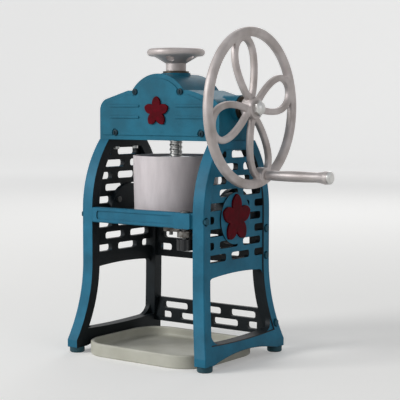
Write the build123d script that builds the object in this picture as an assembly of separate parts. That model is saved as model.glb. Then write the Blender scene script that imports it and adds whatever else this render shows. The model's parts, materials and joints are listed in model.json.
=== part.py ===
from build123d import *
import os
from math import atan2, cos, degrees, hypot, pi, sin, sqrt, tan, radians

# Hand cranked ice shaver. Millimetres. +X is the crank side, -Y the front, +Z up.
# The origin is on the floor, under the middle of the machine.

# ---------------------------------------------------------------- driving dimensions
# side frames
frame_outer = 80.5          # outer face of the straight side frame, from the middle
leg_width = 14.0            # a leg from side to side
leg_depth = 12.0            # a leg from front to back
leg_reach = 61.0            # front face of the straight leg, from the middle
leg_easing = 0.8            # chamfer round the outer face of a frame
plate_thickness = 6.0       # lattice plate between the legs
plate_recess = 1.5          # lattice plate below the outer face
head_bottom = 230.0         # top of the side frames, underside of the gear head
top_half_depth = 32.5       # half depth of frame top and head
top_bar = 8.0
shoulder_height = 75.0      # shoulders curve in over this height
flare_z = 100.0             # feet spread below this height
foot_block = 8.0            # upright sides of a foot above its pad
flare_side = 11.5           # sideways spread of a foot
flare_front = 13.0          # front and rear spread of a foot
foot_length = 17.0
arch_rise = 7.0             # rise of the arch under the tie
tie_height = 12.5
window_top = 91.0
window_crown = 2.5
window_corner = 12.0
lattice_bottom = 104.0
# brick pattern of the side lattice
slot_length = 33.0
slot_height = 7.8
slot_corner = 3.0
slot_pitch = 43.0
row_pitch = 13.2
first_row = 111.0
row_shift = -36.0           # a slot centre of the first row
shortest_slot = 7.0
# rubber feet
pad_height = 6.0
pad_radius = 8.0
pad_stud_radius = 3.0
pad_stud_length = 5.0
# cross pieces between the legs
crossbar_drop = 10.6        # underside of the crossbar, below the table's top
crossbar_height = 16.0
crossbar_thickness = 8.0
crossbar_panel_depth = 1.2
adjuster_inset = 12.5       # axis of the blade adjuster, inward from the leg
adjuster_block_width = 20.7
adjuster_block_rise = 2.6
rear_panel_thickness = 5.0
rear_upper_gap = 0.6        # between the upper rear panel and the table
rear_upper_height = 51.0
rear_upper_row = 14.5
rear_lower_bottom = 18.0
rear_lower_top = 45.5
rear_lower_row = 11.5
rear_slot_pitch = 46.0
rear_slot_length = 34.0
rear_slot_shift = 7.0       # centre of a slot of the upper panel's middle row
rear_border = 6.0
# blade table
table_top = 152.6
table_thickness = 6.0
table_gap = 0.5             # between table and rear legs
table_rib_width = 4.0
table_rib_depth = 5.0
table_rib_reach = 30.0      # middle of each rib under the table, from the axis
ear_middle = 6.0
ear_half_width = 34.0
ear_height = 28.0
ear_thickness = 5.0
ear_margin = 4.0            # an ear screw stands at least this far inside the ear's edge
seat_ring_gap = 0.3
seat_ring_width = 3.0
seat_ring_height = 3.0
blade_window_inner = 4.0    # blade window from the axis outward
blade_window_margin = 2.0   # between blade window and the drum's bore
blade_window_rear = 4.0
blade_window_front = -16.0
# blade, carrier and adjuster
blade_angle = 25.0
blade_thickness = 1.5
blade_bevel = 3.0
blade_edge_y = 1.5
blade_rise = 0.7            # cutting edge above the table
carrier_gap = 0.3
carrier_height = 12.6       # carrier's underside, below the table's
carrier_drop = 2.5          # room for the carrier to rise under the table
arm_thickness = 6.0
guide_pin_radius = 2.0
guide_pin_inset = 6.0
guide_pin_seat = 4.0
adjuster_journal_radius = 3.0
adjuster_collar_radius = 4.6
adjuster_play = 0.1
lug_radius = 8.0
lug_gap = 2.5               # room for the lug under the crossbar
knob_radius = 8.5
knob_height = 11.0
knob_flutes = 8
# ice drum
drum_radius = 46.2
drum_taper = 1.4
drum_wall = 2.2
drum_gap = 16.5             # mouth of the drum below the head
# gear head
head_inset = 1.5            # side of the head, inside the frame's outer face
head_wall = 4.0
head_floor = 5.0
head_easing = 1.2
shoulder_room = 4.75        # shoulder line over the shaft collar
shoulder_fall = 11.4        # of the shoulder line, out to the side face
head_shoulder_x = 40.0
head_corner = 13.0
dome_radius = 42.0
dome_rise = 28.0            # middle of the dome, over the head's underside
cover_thickness = 3.0
cover_border = 5.0
cover_relief = 1.0
cover_rib_length = 40.0
cover_rib_height = 2.4
cover_rib_middle = 44.0
cover_rib_spacing = 12.0
cover_screw_inset = 22.0
cover_screw_rise = 7.5
cover_screw_step = 12.0     # upper cover screws, inward from the dome's edge
cover_screw_height = 23.0   # upper cover screws, over the dome's middle
cover_screw_depth = 12.0
# crank and gears
shaft_rise = 33.75          # crank shaft over the head's underside
shaft_radius = 7.0
shaft_step = 2.0            # the shaft's ends are thinner by this
shaft_start = 16.0
gear_module = 2.0
pinion_teeth = 12
gear_teeth = 24
gear_face = 8.0
tooth_tip = 0.8             # tooth height over the pitch cone, in modules
tooth_root = 1.2            # tooth depth under the pitch cone, in modules
pressure_angle = 24.0
backlash = 0.7
bush_wall = 3.0
bush_flange = 2.0
running_clearance = 0.05
boss_wall = 3.5
outer_boss_reach = 6.0      # bearing boss beyond the side of the head
outer_boss_root = 14.0      # and into the head
inner_bush_gap = 10.0       # from the pinion's pitch circle to the inner bush
inner_bush_length = 10.0
lower_boss_height = 10.0
sleeve_boss_rise = 1.0
sleeve_boss_length = 14.0
gear_hub_drop = 0.6         # hub of the large wheel, below the head
pinion_pin_radius = 1.5
collar_length = 8.0
collar_play = 0.3
# flywheel
wheel_gap = 18.0            # middle plane of the wheel, beyond the side of the head
wheel_radius = 83.0
rim_width = 10.0
rim_thickness = 9.0
rim_rounding = 3.4
hub_wall = 4.5
hub_length = 13.0
loop_count = 4
loop_bar = 7.0
loop_thickness = 6.5
loop_easing = 1.6
loop_big_radius = 20.0      # outer curve of a loop near the rim
loop_small_radius = 9.0     # outer curve of a loop near the hub
loop_bulge = 72.0           # radius of the long sides
loop_hub_reach = 7.0
loop_rim_reach = 4.0
nut_length = 8.5
nut_wall = 3.0
nut_skin = 3.0              # material beyond the shaft's end
nut_dome = 4.0
# crank handle
handle_angle = 16.0         # from straight down toward the rear
handle_rim_gap = 0.5        # handle axis inward of the rim
handle_length = 83.0        # from the wheel's middle plane
handle_cap = 3.2
handle_play = 0.3
pin_radius = 3.2
pin_head_wall = 1.8
grip_radius = 5.6
grip_end_radius = 6.9
grip_swell = 14.0           # length of the swollen end
grip_crown = 0.9            # the grip's root is thinner than its middle by this
grip_boss_radius = 8.5
grip_boss_rise = 1.5
# feed
spindle_radius = 7.0
spindle_step = 2.0
spindle_drop = 18.0         # top of the spindle, below the handwheel's
spindle_nut_height = 6.0
keyway_width = 3.0
keyway_depth = 2.0
key_play = 0.08
key_length = 16.0
plate_gap = 18.0            # back of the spike plate, below the head
plate_play = 4.6            # between spike plate and the drum's bore
spike_plate_thickness = 5.0
spike_length = 8.0
spike_base = 4.2
spike_tip = 0.6
handwheel_radius = 31.0
handwheel_rise = 27.0       # top of the handwheel, over the head
handwheel_rim = 4.0         # section radius of the rim
handwheel_windows = 5
handwheel_window = 4.4      # radius of a hole in the web
handwheel_web = 4.5         # thickness of the web
sleeve_wall = 2.5
sleeve_drop = 7.75          # end of the sleeve, below the crank shaft's axis
sleeve_hub_wall = 1.3
sleeve_collar_wall = 3.5
sleeve_collar_height = 4.0
# drip tray
tray_gap = 1.4              # between tray and frames
tray_depth = 128.0
tray_corner = 34.0
tray_height = 14.0
tray_wall = 4.0
tray_floor = 4.0
tray_rounding = 1.6
# ornaments
front_ornament_radius = 16.0
front_ornament_drop = 3.5
side_ornament_radius = 25.5
side_ornament_y = -4.0
side_ornament_z = 150.0
ornament_thickness = 2.0
ornament_valley = 0.52      # valleys between the lobes, as a share of the radius
ornament_belly = 0.86       # fullest point of a lobe's side, as a share of the radius
ornament_seat = 1.5
ornament_stud_radius = 1.2
ornament_stud_length = 2.5
ornament_stud_share = 0.4
# fasteners
bolt_radius = 1.75
bolt_grip = 6.0             # bolt in the cross piece
bolt_head_radius = 3.8
bolt_head_height = 3.0
bolt_seat_depth = 1.5
bolt_seat_gap = 0.6
screw_radius = 1.8
screw_head_radius = 3.3
screw_head_height = 2.0
screw_pillar_wall = 3.0
screw_skin = 1.0            # material beyond the tip of a table screw
head_bolt_grip = 4.0

# ---------------------------------------------------------------- derived dimensions
shoulder_z = head_bottom - shoulder_height
shoulder_inset = leg_reach - top_half_depth
shoulder_radius = (shoulder_inset**2 + shoulder_height**2) / (2 * shoulder_inset)
foot_top = pad_height + foot_block
flare_drop = flare_z - foot_top
flare_front_radius = (flare_front**2 + flare_drop**2) / (2 * flare_front)
flare_side_radius = (flare_side**2 + flare_drop**2) / (2 * flare_side)
leg_inner = frame_outer - leg_width
plate_outer = frame_outer - plate_recess
plate_inner = plate_outer - plate_thickness
leg_back = leg_reach - leg_depth
foot_x = frame_outer + flare_side - leg_width / 2
foot_y = leg_reach + flare_front - foot_length / 2
table_bottom = table_top - table_thickness
crossbar_bottom = table_top - crossbar_drop
crossbar_top = crossbar_bottom + crossbar_height
crossbar_back = crossbar_thickness - leg_reach
crossbar_middle_y = crossbar_thickness / 2 - leg_reach
crossbar_middle_z = crossbar_bottom + crossbar_height / 2
adjuster_x = leg_inner - adjuster_inset
adjuster_y = crossbar_middle_y
carrier_bottom = table_bottom - carrier_height
rear_upper_top = table_bottom - rear_upper_gap
rear_upper_bottom = rear_upper_top - rear_upper_height
drum_top = head_bottom - drum_gap
drum_bottom_radius = drum_radius - drum_taper
drum_bore = drum_bottom_radius - drum_wall
blade_window_outer = drum_bore - blade_window_margin
head_half_width = frame_outer - head_inset
head_front = cover_thickness - top_half_depth
dome_middle = head_bottom + dome_rise
head_top = dome_middle + dome_radius
shaft_z = head_bottom + shaft_rise
shaft_step_radius = shaft_radius - shaft_step
bush_radius = shaft_radius + bush_wall
head_shoulder_inner = shaft_rise + bush_radius + head_wall + shoulder_room
head_shoulder_side = head_shoulder_inner - shoulder_fall
pitch_radius = gear_module * pinion_teeth / 2
gear_pitch_radius = gear_module * gear_teeth / 2
cone_length = hypot(pitch_radius, gear_pitch_radius)
inner_bush_start = gear_pitch_radius + inner_bush_gap
inner_bush_end = inner_bush_start + inner_bush_length
outer_boss_start = head_half_width - outer_boss_root
outer_boss_end = head_half_width + outer_boss_reach
wheel_x = head_half_width + wheel_gap
rim_middle = wheel_radius - rim_width / 2
hub_radius = shaft_radius + hub_wall
hub_outer = wheel_x + hub_length / 2
handle_arm = wheel_radius - rim_width - handle_rim_gap
handle_end = wheel_x + handle_length
handle_y = handle_arm * sin(radians(handle_angle))
handle_z = shaft_z - handle_arm * cos(radians(handle_angle))
spindle_step_radius = spindle_radius - spindle_step
journal_radius = spindle_radius + 4.0
lower_boss_top = head_bottom + lower_boss_height
gear_hub_bottom = head_bottom - gear_hub_drop
sleeve_radius = spindle_radius + sleeve_wall
sleeve_hub_radius = sleeve_radius + sleeve_hub_wall
sleeve_bottom = shaft_z - sleeve_drop
sleeve_boss_top = head_top + sleeve_boss_rise
sleeve_boss_bottom = sleeve_boss_top - sleeve_boss_length
handwheel_top = head_top + handwheel_rise
spindle_top = handwheel_top - spindle_drop
plate_radius = drum_bore - plate_play
plate_top = head_bottom - plate_gap
plate_bottom = plate_top - spike_plate_thickness
tray_front = -leg_reach - flare_front
ornament_z = shaft_z - front_ornament_drop


# ---------------------------------------------------------------- helpers
def rod(radius, start, end):
    """Round bar between two points."""
    way = Vector(*end) - Vector(*start)
    return extrude(Plane(origin=start, z_dir=way) * Circle(radius), way.length)


def hexagon(radius, start, end):
    """Six-sided bar between two points."""
    way = Vector(*end) - Vector(*start)
    return extrude(Plane(origin=start, z_dir=way) * RegularPolygon(radius, 6), way.length)


def box(x, y, z):
    """Block between pairs of limits."""
    size = (x[1] - x[0], y[1] - y[0], z[1] - z[0])
    middle = (sum(x) / 2, sum(y) / 2, sum(z) / 2)
    return Pos(*middle) * Box(*size)


def along_x(sketch, start, end):
    """Extrude a sketch of (y, z) points from one x to another."""
    return Pos(start, 0, 0) * extrude(Plane.YZ * sketch, end - start, dir=(1, 0, 0))


def along_y(sketch, start, end):
    """Extrude a sketch of (x, z) points from one y to another."""
    return Pos(0, start, 0) * extrude(Plane.XZ * sketch, end - start, dir=(0, 1, 0))


def along_z(sketch, start, end):
    """Extrude a sketch of (x, y) points from one z to another."""
    return Pos(0, 0, start) * extrude(sketch, end - start, dir=(0, 0, 1))


def turned(profile):
    """Revolve a sketch of (radius, z) points about the vertical axis."""
    return revolve(Plane.XZ * profile, Axis.Z)


def mirrored_pair(solid):
    return [solid, mirror(solid, Plane.YZ)]


def group(solids):
    """Several separate solids in one node."""
    return Compound(children=[part.solid() for part in solids])


def cut(solid, tools):
    for tool in tools:
        solid = solid - tool
    return solid


def rows_of_slots(rows, pitch, length, height, half_span):
    """Rounded slots; rows holds (z, centre of one slot) pairs."""
    slots = Sketch()
    for z, centre in rows:
        first = -int((half_span + centre) / pitch) - 1
        for step in range(first, first + int(2 * half_span / pitch) + 3):
            slot = RectangleRounded(length, height, slot_corner)
            slots += Pos(centre + step * pitch, z) * slot
    return slots


def trimmed(slots, field):
    """Slots cut back to a field, without the ones that end up very short."""
    kept = [face for face in (slots & field).faces() if face.bounding_box().size.X > shortest_slot]
    return Sketch() + kept


# ---------------------------------------------------------------- frame outline
def leg_edge(z, inset=0.0):
    """Distance of a leg's outer edge from the middle plane at height z."""
    if z > shoulder_z:
        radius = shoulder_radius - inset
        return leg_reach - shoulder_radius + sqrt(radius**2 - (z - shoulder_z) ** 2)
    if z < flare_z:
        radius = flare_front_radius + inset
        return leg_reach + flare_front_radius - sqrt(radius**2 - (flare_z - max(z, foot_top)) ** 2)
    return leg_reach - inset


def leg_curve(top, bottom, inset):
    """Line of a leg from top to bottom: shoulder arc, straight, foot flare, upright foot."""
    breaks = [z for z in (shoulder_z, flare_z, foot_top) if bottom < z < top]
    heights = [top, *breaks, bottom]
    edges = []
    for upper, lower in zip(heights, heights[1:]):
        ends = [(leg_edge(z, inset), z) for z in (upper, (upper + lower) / 2, lower)]
        straight = flare_z <= lower and upper <= shoulder_z or upper <= foot_top
        edges.append(Line(ends[0], ends[2]) if straight else ThreePointArc(*ends))
    return edges


def leg_face(top, bottom, inset, upper_edges, lower_edges):
    """Face between the front and rear leg lines, in (y, z)."""
    side = leg_curve(top, bottom, inset)
    return make_face([*side, *[mirror(edge, Plane.YZ) for edge in side], *upper_edges, *lower_edges])


def across(z, inset, rise=0.0):
    """Edge from leg line to leg line at height z, crowned by rise."""
    reach = leg_edge(z, inset)
    if rise == 0:
        return Line((-reach, z), (reach, z))
    return ThreePointArc((-reach, z), (0, z + rise), (reach, z))


def frame_silhouette():
    toe = leg_edge(pad_height)
    heel = toe - foot_length
    sole = Line((toe, pad_height), (heel, pad_height))
    arch = ThreePointArc((heel, pad_height), (0, pad_height + arch_rise), (-heel, pad_height))
    lower = [sole, arch, mirror(sole, Plane.YZ)]
    return leg_face(head_bottom, pad_height, 0, [across(head_bottom, 0)], lower)


def frame_interior(bottom, rise):
    """Everything inside legs, top bar and tie."""
    top = head_bottom - top_bar
    return leg_face(top, bottom, leg_depth, [across(top, leg_depth)], [across(bottom, leg_depth, rise)])


def frame_window(bottom, rise):
    upper = [across(window_top, leg_depth, window_crown)]
    face = leg_face(window_top, bottom, leg_depth, upper, [across(bottom, leg_depth, rise)])
    corners = face.vertices().group_by(Axis.Y)
    face = fillet(corners[0], window_corner)
    return fillet(face.vertices().sort_by(Axis.Y)[-2:], window_corner / 2)


def side_spread(z):
    """How far a side frame stands outside its straight plane at height z."""
    if z >= flare_z:
        return 0.0
    return flare_side_radius - sqrt(flare_side_radius**2 - (flare_z - max(z, foot_top)) ** 2)


def flared_band(outer, thickness):
    """Upright plate that spreads outward at the feet, as a (x, z) face."""
    def at(z, shift):
        return (outer - shift + side_spread(z), z)

    middle = (flare_z + foot_top) / 2
    edges = []
    for shift in (0, thickness):
        edges.append(Line(at(head_bottom, shift), at(flare_z, shift)))
        edges.append(ThreePointArc(at(flare_z, shift), at(middle, shift), at(foot_top, shift)))
        edges.append(Line(at(foot_top, shift), at(0, shift)))
    for z in (head_bottom, 0):
        edges.append(Line(at(z, 0), at(z, thickness)))
    return make_face(edges)


def frame_slice(sketch, outer, thickness):
    """Part of a side frame: a (y, z) outline within a flared band."""
    depth = leg_reach + flare_front + 1
    body = along_x(sketch, leg_inner / 2, frame_outer + 2 * flare_side)
    return body & along_y(flared_band(outer, thickness), -depth, depth)


def lattice_row(index):
    """(z, centre of one slot) of a row of the side lattice; odd rows stand half a pitch off."""
    return first_row + index * row_pitch, row_shift + index % 2 * slot_pitch / 2


def lattice_slots():
    count = int((head_bottom - top_bar - first_row) / row_pitch) + 1
    rows = [lattice_row(index) for index in range(count)]
    top = head_bottom - top_bar
    upper = [across(top, leg_depth)]
    field = leg_face(top, lattice_bottom, leg_depth, upper, [across(lattice_bottom, leg_depth)])
    return trimmed(rows_of_slots(rows, slot_pitch, slot_length, slot_height, leg_reach), field)


def eased_outside(frame):
    """Chamfer the outer face of a frame along every edge that isn't level."""
    outside = [face for face in frame.faces() if face.normal_at().X > 0.5]
    rims = [edge for face in outside for edge in face.edges() if edge.bounding_box().size.Z > 0.01]
    return chamfer(rims, leg_easing)


def side_frame(with_ornament_seat):
    """Right-hand frame: legs, top bar and arched tie round a thin lattice plate."""
    interior_bottom = pad_height + arch_rise + tie_height
    rise = -arch_rise / 4
    interior = frame_interior(interior_bottom, rise)
    slots = lattice_slots()
    if with_ornament_seat:
        seat = Pos(side_ornament_y, side_ornament_z) * Circle(side_ornament_radius + ornament_seat)
        slots = trimmed(slots, slots - seat)
    plate = interior - frame_window(interior_bottom, rise) - slots
    frame = eased_outside(frame_slice(frame_silhouette() - interior, frame_outer, leg_width))
    frame += frame_slice(plate, plate_outer, plate_thickness)
    if with_ornament_seat:
        frame += along_x(seat, plate_inner, frame_outer)
    return cut(frame, [*frame_bolt_cuts(), *head_bolt_holes(), *foot_stud_holes(), *ear_screw_holes()])


# ---------------------------------------------------------------- frame fasteners
def frame_bolt_places():
    """(y, z, depth into the cross piece) of the bolts through a right-hand leg."""
    rear_upper_y = leg_back + rear_panel_thickness / 2 + 3
    rear_lower_y = rear_lower_middle()
    middle = (rear_upper_bottom + rear_upper_top) / 2
    return [
        (crossbar_middle_y, crossbar_middle_z),
        (rear_upper_y, middle + rear_upper_row),
        (rear_upper_y, middle - rear_upper_row),
        (rear_lower_y, (rear_lower_bottom + rear_lower_top) / 2),
    ]


def frame_surface(z, depth=0.0):
    """x of the frame's outer face at height z, moved inward by depth."""
    return frame_outer + side_spread(z) - depth


def frame_bolt(y, z):
    seat = frame_surface(z, bolt_seat_depth)
    tip = frame_surface(z, leg_width + bolt_grip)
    head = hexagon(bolt_head_radius, (seat, y, z), (seat + bolt_head_height, y, z))
    return head + rod(bolt_radius, (tip, y, z), (seat, y, z))


def frame_bolt_cuts():
    cuts = []
    for y, z in frame_bolt_places():
        seat = frame_surface(z, bolt_seat_depth)
        tip = frame_surface(z, leg_width + bolt_grip)
        cuts.append(rod(bolt_radius, (tip, y, z), (seat, y, z)))
        cuts.append(rod(bolt_head_radius + bolt_seat_gap, (seat, y, z), (seat + leg_width, y, z)))
    return cuts


def frame_bolts():
    bolts = []
    for y, z in frame_bolt_places():
        bolts += mirrored_pair(frame_bolt(y, z))
    return group(bolts)


def head_bolt_places():
    x = leg_inner + screw_head_radius - bolt_seat_gap / 2
    return [(x, y) for y in (-top_half_depth / 2, top_half_depth / 2)]


def head_bolt_holes():
    bottom = head_bottom - top_bar
    return [rod(screw_radius, (x, y, bottom), (x, y, head_bottom)) for x, y in head_bolt_places()]


def head_bolts():
    bolts = []
    flange = head_bottom - top_bar
    for x, y in head_bolt_places():
        bolt = rod(screw_head_radius, (x, y, flange - bolt_head_height), (x, y, flange))
        bolt += rod(screw_radius, (x, y, flange), (x, y, head_bottom + head_floor + head_bolt_grip))
        bolts += mirrored_pair(bolt)
    return group(bolts)


def foot_stud_holes():
    top = pad_height + pad_stud_length
    return [rod(pad_stud_radius, (foot_x, y, 0), (foot_x, y, top)) for y in (-foot_y, foot_y)]


def foot_pads():
    pads = []
    for y in (-foot_y, foot_y):
        pad = rod(pad_radius, (foot_x, y, 0), (foot_x, y, pad_height))
        pad = chamfer(pad.edges().group_by(Axis.Z)[0], 1.0)
        pad += rod(pad_stud_radius, (foot_x, y, pad_height), (foot_x, y, pad_height + pad_stud_length))
        pads += mirrored_pair(pad)
    return group(pads)


def ear_reach(z):
    """Half width of a table ear at height z."""
    return ear_half_width * sqrt(1 - ((z - table_bottom) / (ear_height + table_thickness)) ** 2)


def ear_screw_places():
    """Solid crossings of the lattice, halfway up the ear, that take the table screws."""
    z, centre = lattice_row(round((table_top + ear_height / 2 - first_row) / row_pitch))
    crossings = [centre + (step + 0.5) * slot_pitch for step in range(-2, 4)]
    return [(y, z) for y in crossings if abs(y - ear_middle) < ear_reach(z) - ear_margin]


def ear_screw_holes():
    tip = plate_outer - screw_skin
    return [rod(screw_radius, (plate_inner, y, z), (tip, y, z)) for y, z in ear_screw_places()]


def table_screws():
    screws = []
    inner = plate_inner - ear_thickness
    for y, z in ear_screw_places():
        screw = rod(screw_head_radius, (inner - screw_head_height, y, z), (inner, y, z))
        screw += rod(screw_radius, (inner, y, z), (plate_outer - screw_skin, y, z))
        screws += mirrored_pair(screw)
    return group(screws)


# ---------------------------------------------------------------- cross pieces
def front_crossbar():
    bar = box((-leg_inner, leg_inner), (-leg_reach, crossbar_back), (crossbar_bottom, crossbar_top))
    bar = chamfer(bar.edges().filter_by(Axis.X).group_by(Axis.Y)[0], 1.0)
    panel_end = adjuster_x - adjuster_block_width / 2 - 3
    panel_start = 6 - leg_inner
    panel = RectangleRounded(panel_end - panel_start, crossbar_height - 7, 2.5)
    panel = Pos((panel_end + panel_start) / 2, crossbar_middle_z) * panel
    bar -= along_y(panel, -leg_reach, crossbar_panel_depth - leg_reach)
    block = RectangleRounded(adjuster_block_width, crossbar_height, 2.0)
    block = Pos(adjuster_x, crossbar_middle_z) * block
    bar += along_y(block, -leg_reach - adjuster_block_rise, -leg_reach + 2)
    axis_bottom = (adjuster_x, adjuster_y, crossbar_bottom)
    axis_top = (adjuster_x, adjuster_y, crossbar_top)
    bar -= rod(adjuster_journal_radius + running_clearance, axis_bottom, axis_top)
    return cut(bar, bolt_holes_in_cross_pieces())


def bolt_holes_in_cross_pieces():
    holes = []
    for y, z in frame_bolt_places():
        inner = frame_surface(z, leg_width + bolt_grip)
        outer = frame_surface(z)
        holes += mirrored_pair(rod(bolt_radius, (inner, y, z), (outer, y, z)))
    return holes


def rear_lower_middle():
    """y of the lower rear panel's middle, inside the flared legs over its height."""
    return (leg_edge(rear_lower_bottom, leg_depth) + leg_edge(rear_lower_top)) / 2


def between_legs(bottom, top):
    """Outline from leg to leg in (x, z), following the flare of their inner faces."""
    breaks = [z for z in (foot_top, flare_z) if bottom < z < top]
    heights = [bottom, *breaks, top]
    edges = []
    for lower, upper in zip(heights, heights[1:]):
        ends = [(frame_surface(z, leg_width), z) for z in (lower, (lower + upper) / 2, upper)]
        straight = lower >= flare_z or upper <= foot_top
        side = Line(ends[0], ends[2]) if straight else ThreePointArc(*ends)
        edges += [side, mirror(side, Plane.YZ)]
    for z in (bottom, top):
        half = frame_surface(z, leg_width)
        edges.append(Line((-half, z), (half, z)))
    return make_face(edges)


def rear_lattice(bottom, top, rows, middle_y):
    outline = between_legs(bottom, top)
    reach = frame_surface(top, leg_width) - rear_border
    field = Pos(0, (bottom + top) / 2) * Rectangle(2 * reach, top - bottom)
    slots = rows_of_slots(rows, rear_slot_pitch, rear_slot_length, slot_height, reach)
    panel = outline - trimmed(slots, field)
    half = rear_panel_thickness / 2
    return cut(along_y(panel, middle_y - half, middle_y + half), bolt_holes_in_cross_pieces())


def rear_upper_lattice():
    middle = (rear_upper_bottom + rear_upper_top) / 2
    outer = rear_slot_shift + rear_slot_pitch / 2
    rows = [(middle - rear_upper_row, outer), (middle, rear_slot_shift), (middle + rear_upper_row, outer)]
    return rear_lattice(rear_upper_bottom, rear_upper_top, rows, frame_bolt_places()[1][0])


def rear_lower_lattice():
    middle = (rear_lower_bottom + rear_lower_top) / 2
    half = rear_lower_row / 2
    rows = [(middle + half, 0), (middle - half, rear_slot_pitch / 2)]
    return rear_lattice(rear_lower_bottom, rear_lower_top, rows, rear_lower_middle())


# ---------------------------------------------------------------- blade table
def blade_table():
    """Cast plate with an arched ear each side, a seat ring for the drum and the blade window."""
    reach = leg_back - table_gap
    table = box((-plate_inner, plate_inner), (-reach, reach), (table_bottom, table_top))
    table += box((-leg_inner, leg_inner), (crossbar_back, -reach), (table_bottom, table_top))
    full_height = ear_height + table_thickness
    ear = Pos(ear_middle, table_bottom) * Ellipse(ear_half_width, full_height)
    ear &= Pos(ear_middle, table_bottom + full_height / 2) * Rectangle(2 * ear_half_width, full_height)
    ear = along_x(ear, plate_inner - ear_thickness, plate_inner)
    for side in mirrored_pair(ear):
        table += side
    ring_inner = drum_bottom_radius + seat_ring_gap
    ring = Circle(ring_inner + seat_ring_width) - Circle(ring_inner)
    table += along_z(ring, table_top, table_top + seat_ring_height)
    rib = (table_rib_reach - table_rib_width / 2, table_rib_reach + table_rib_width / 2)
    rib_span = (table_bottom - table_rib_depth, table_bottom)
    table += box((-plate_inner, plate_inner), rib, rib_span)
    table += box((-rib[1], -rib[0]), (-reach, rib[0]), rib_span)
    window = box(
        (blade_window_inner, blade_window_outer),
        (blade_window_front, blade_window_rear),
        (table_bottom, table_top),
    )
    table -= window
    seat = table_bottom + guide_pin_seat
    holes = [rod(guide_pin_radius, (x, y, table_bottom), (x, y, seat)) for x, y in guide_pin_places()]
    inner = plate_inner - ear_thickness
    for y, z in ear_screw_places():
        holes += mirrored_pair(rod(screw_radius, (inner, y, z), (plate_inner, y, z)))
    return cut(table, holes)


def guide_pin_places():
    y = blade_window_front - guide_pin_inset
    return [(blade_window_inner + guide_pin_inset, y), (blade_window_outer - guide_pin_inset, y)]


def guide_pins():
    low = carrier_bottom - guide_pin_seat
    high = table_bottom + guide_pin_seat
    return group([rod(guide_pin_radius, (x, y, low), (x, y, high)) for x, y in guide_pin_places()])


# ---------------------------------------------------------------- blade and its adjuster
blade_slope = tan(radians(blade_angle))
blade_drop = blade_thickness / cos(radians(blade_angle))


def blade_surface(y):
    """Height of the blade's upper face at y."""
    return table_top + blade_rise - (blade_edge_y - y) * blade_slope


def blade_span():
    return (blade_window_inner + carrier_gap, blade_window_outer - carrier_gap)


def blade():
    rear = blade_window_front + carrier_gap
    points = [
        (rear, blade_surface(rear)),
        (blade_edge_y, blade_surface(blade_edge_y)),
        (blade_edge_y - blade_bevel, blade_surface(blade_edge_y - blade_bevel) - blade_drop),
        (rear, blade_surface(rear) - blade_drop),
    ]
    blank = along_x(Polygon(*points, align=None), *blade_span())
    return cut(blank, [blade_screw_shank(x) for x in blade_screw_places()])


def blade_screw_places():
    start, end = blade_span()
    return [start + (end - start) * share for share in (0.25, 0.75)]


def blade_normal():
    angle = radians(blade_angle)
    return Vector(0, -sin(angle), cos(angle))


def blade_screw_seat(x):
    y = blade_window_front + 5
    return Vector(x, y, blade_surface(y))


def blade_screw_shank(x):
    seat = blade_screw_seat(x)
    return rod(screw_radius, tuple(seat - blade_normal() * 8), tuple(seat))


def blade_screws():
    screws = []
    for x in blade_screw_places():
        seat = blade_screw_seat(x)
        head = rod(screw_head_radius, tuple(seat), tuple(seat + blade_normal() * screw_head_height))
        screws.append(head + blade_screw_shank(x))
    return group(screws)


def blade_carrier():
    """Sloped block in the table's window, on two guide pins, with an arm out to the adjuster."""
    rear = blade_window_front + carrier_gap
    nose = -2.0
    pad_front = blade_window_front - 2 * guide_pin_inset
    pad_top = table_bottom - carrier_drop
    points = [
        (pad_front, carrier_bottom),
        (pad_front, pad_top),
        (rear, pad_top),
        (rear, blade_surface(rear) - blade_drop),
        (nose, blade_surface(nose) - blade_drop),
        (nose - 4, carrier_bottom),
    ]
    carrier = along_x(Polygon(*points, align=None), *blade_span())
    carrier += carrier_arm()
    pin_bore = guide_pin_radius + running_clearance
    holes = [rod(pin_bore, (x, y, carrier_bottom - 1), (x, y, pad_top)) for x, y in guide_pin_places()]
    screw_axis = [(adjuster_x, adjuster_y, z) for z in (0, table_bottom)]
    holes.append(rod(adjuster_journal_radius + running_clearance, *screw_axis))
    holes += [blade_screw_shank(x) for x in blade_screw_places()]
    return cut(carrier, holes)


def carrier_arm():
    """Flat arm that tapers from the carrier to the lug on the adjuster screw."""
    start, end = blade_span()
    root = blade_window_front - guide_pin_inset
    lug = Pos(adjuster_x, adjuster_y) * Circle(lug_radius)
    web = Polygon(
        (end - 16, root), (end, root),
        (adjuster_x + lug_radius * 0.7, adjuster_y + 4),
        (adjuster_x - lug_radius, adjuster_y), align=None,
    )
    top = crossbar_bottom - lug_gap
    return along_z(lug + web, top - arm_thickness, top)


def adjuster_axis(low, high):
    return (adjuster_x, adjuster_y, low), (adjuster_x, adjuster_y, high)


def knob_top():
    return crossbar_bottom - lug_gap - arm_thickness - lug_gap


def adjuster_screw():
    low = knob_top() - knob_height + 2
    screw = rod(adjuster_journal_radius, *adjuster_axis(low, crossbar_top + 2))
    collar_top = crossbar_bottom - adjuster_play
    return screw + rod(adjuster_collar_radius, *adjuster_axis(collar_top - 1.0, collar_top))


def adjuster_clip():
    """Washer pinned on the screw above the crossbar."""
    low = crossbar_top + adjuster_play
    clip = rod(adjuster_collar_radius + 0.6, *adjuster_axis(low, low + 1.5))
    return clip - rod(adjuster_journal_radius, *adjuster_axis(crossbar_top, crossbar_top + 2))


def adjuster_knob():
    """Fluted knob under the crossbar."""
    low = knob_top() - knob_height
    outline = Circle(knob_radius)
    for index in range(knob_flutes):
        turn = 360 / knob_flutes * index
        outline -= Rot(0, 0, turn) * Pos(knob_radius + 1.4, 0) * Circle(2.4)
    knob = Pos(adjuster_x, adjuster_y, 0) * along_z(outline, low, low + knob_height)
    return knob - rod(adjuster_journal_radius, *adjuster_axis(low + 2, low + knob_height))


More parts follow.
